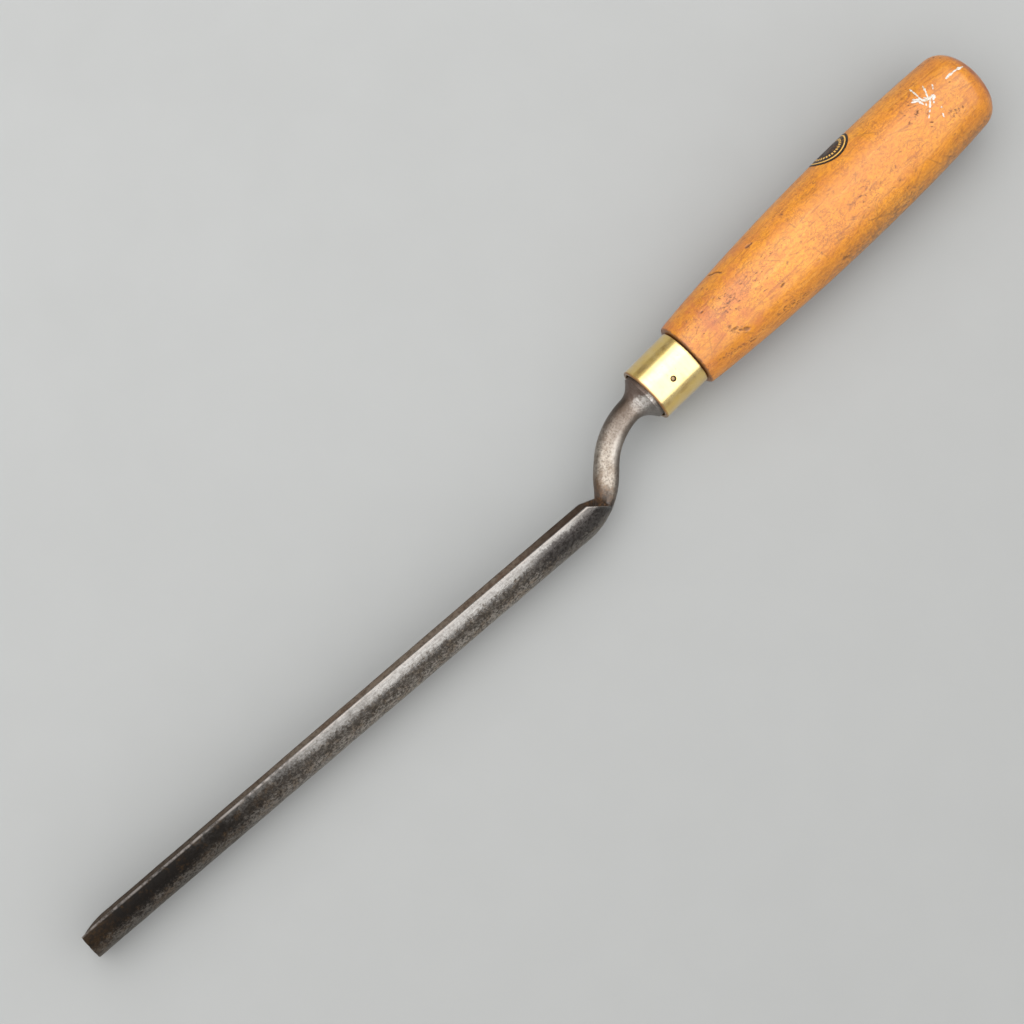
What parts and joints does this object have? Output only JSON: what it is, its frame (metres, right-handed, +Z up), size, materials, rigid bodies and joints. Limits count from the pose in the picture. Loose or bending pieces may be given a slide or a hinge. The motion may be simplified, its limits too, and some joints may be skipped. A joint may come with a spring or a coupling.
{
  "type": "cranked paring gouge",
  "caption": "Long hand gouge with a straight channel blade, a cranked steel neck, a pinned brass ferrule and a turned boxwood handle, lying on its side.",
  "frame": {"origin": "middle of the underside of the tool's box, on the surface that it lies on", "axes": "+X along the tool from the cutting edge to the butt, +Y towards the side that the hollow faces and the handle is cranked to, +Z up"},
  "size_m": [0.3788, 0.0456, 0.0306],
  "materials": {
    "steel": "old forged tool steel with a dark grey-brown patina, fine pitting and a worn bright rim",
    "boxwood": "turned boxwood under old amber varnish, with dents, scratches and grime",
    "brass": "bright drawn tube, polished, with faint handling marks",
    "pin_brass": "brass pin, dulled"
  },
  "bodies": {
    "root": {"gouge_blade": "steel", "handle": "boxwood", "ferrule": "brass", "ferrule_pin": "pin_brass"}
  },
  "joints": []
}
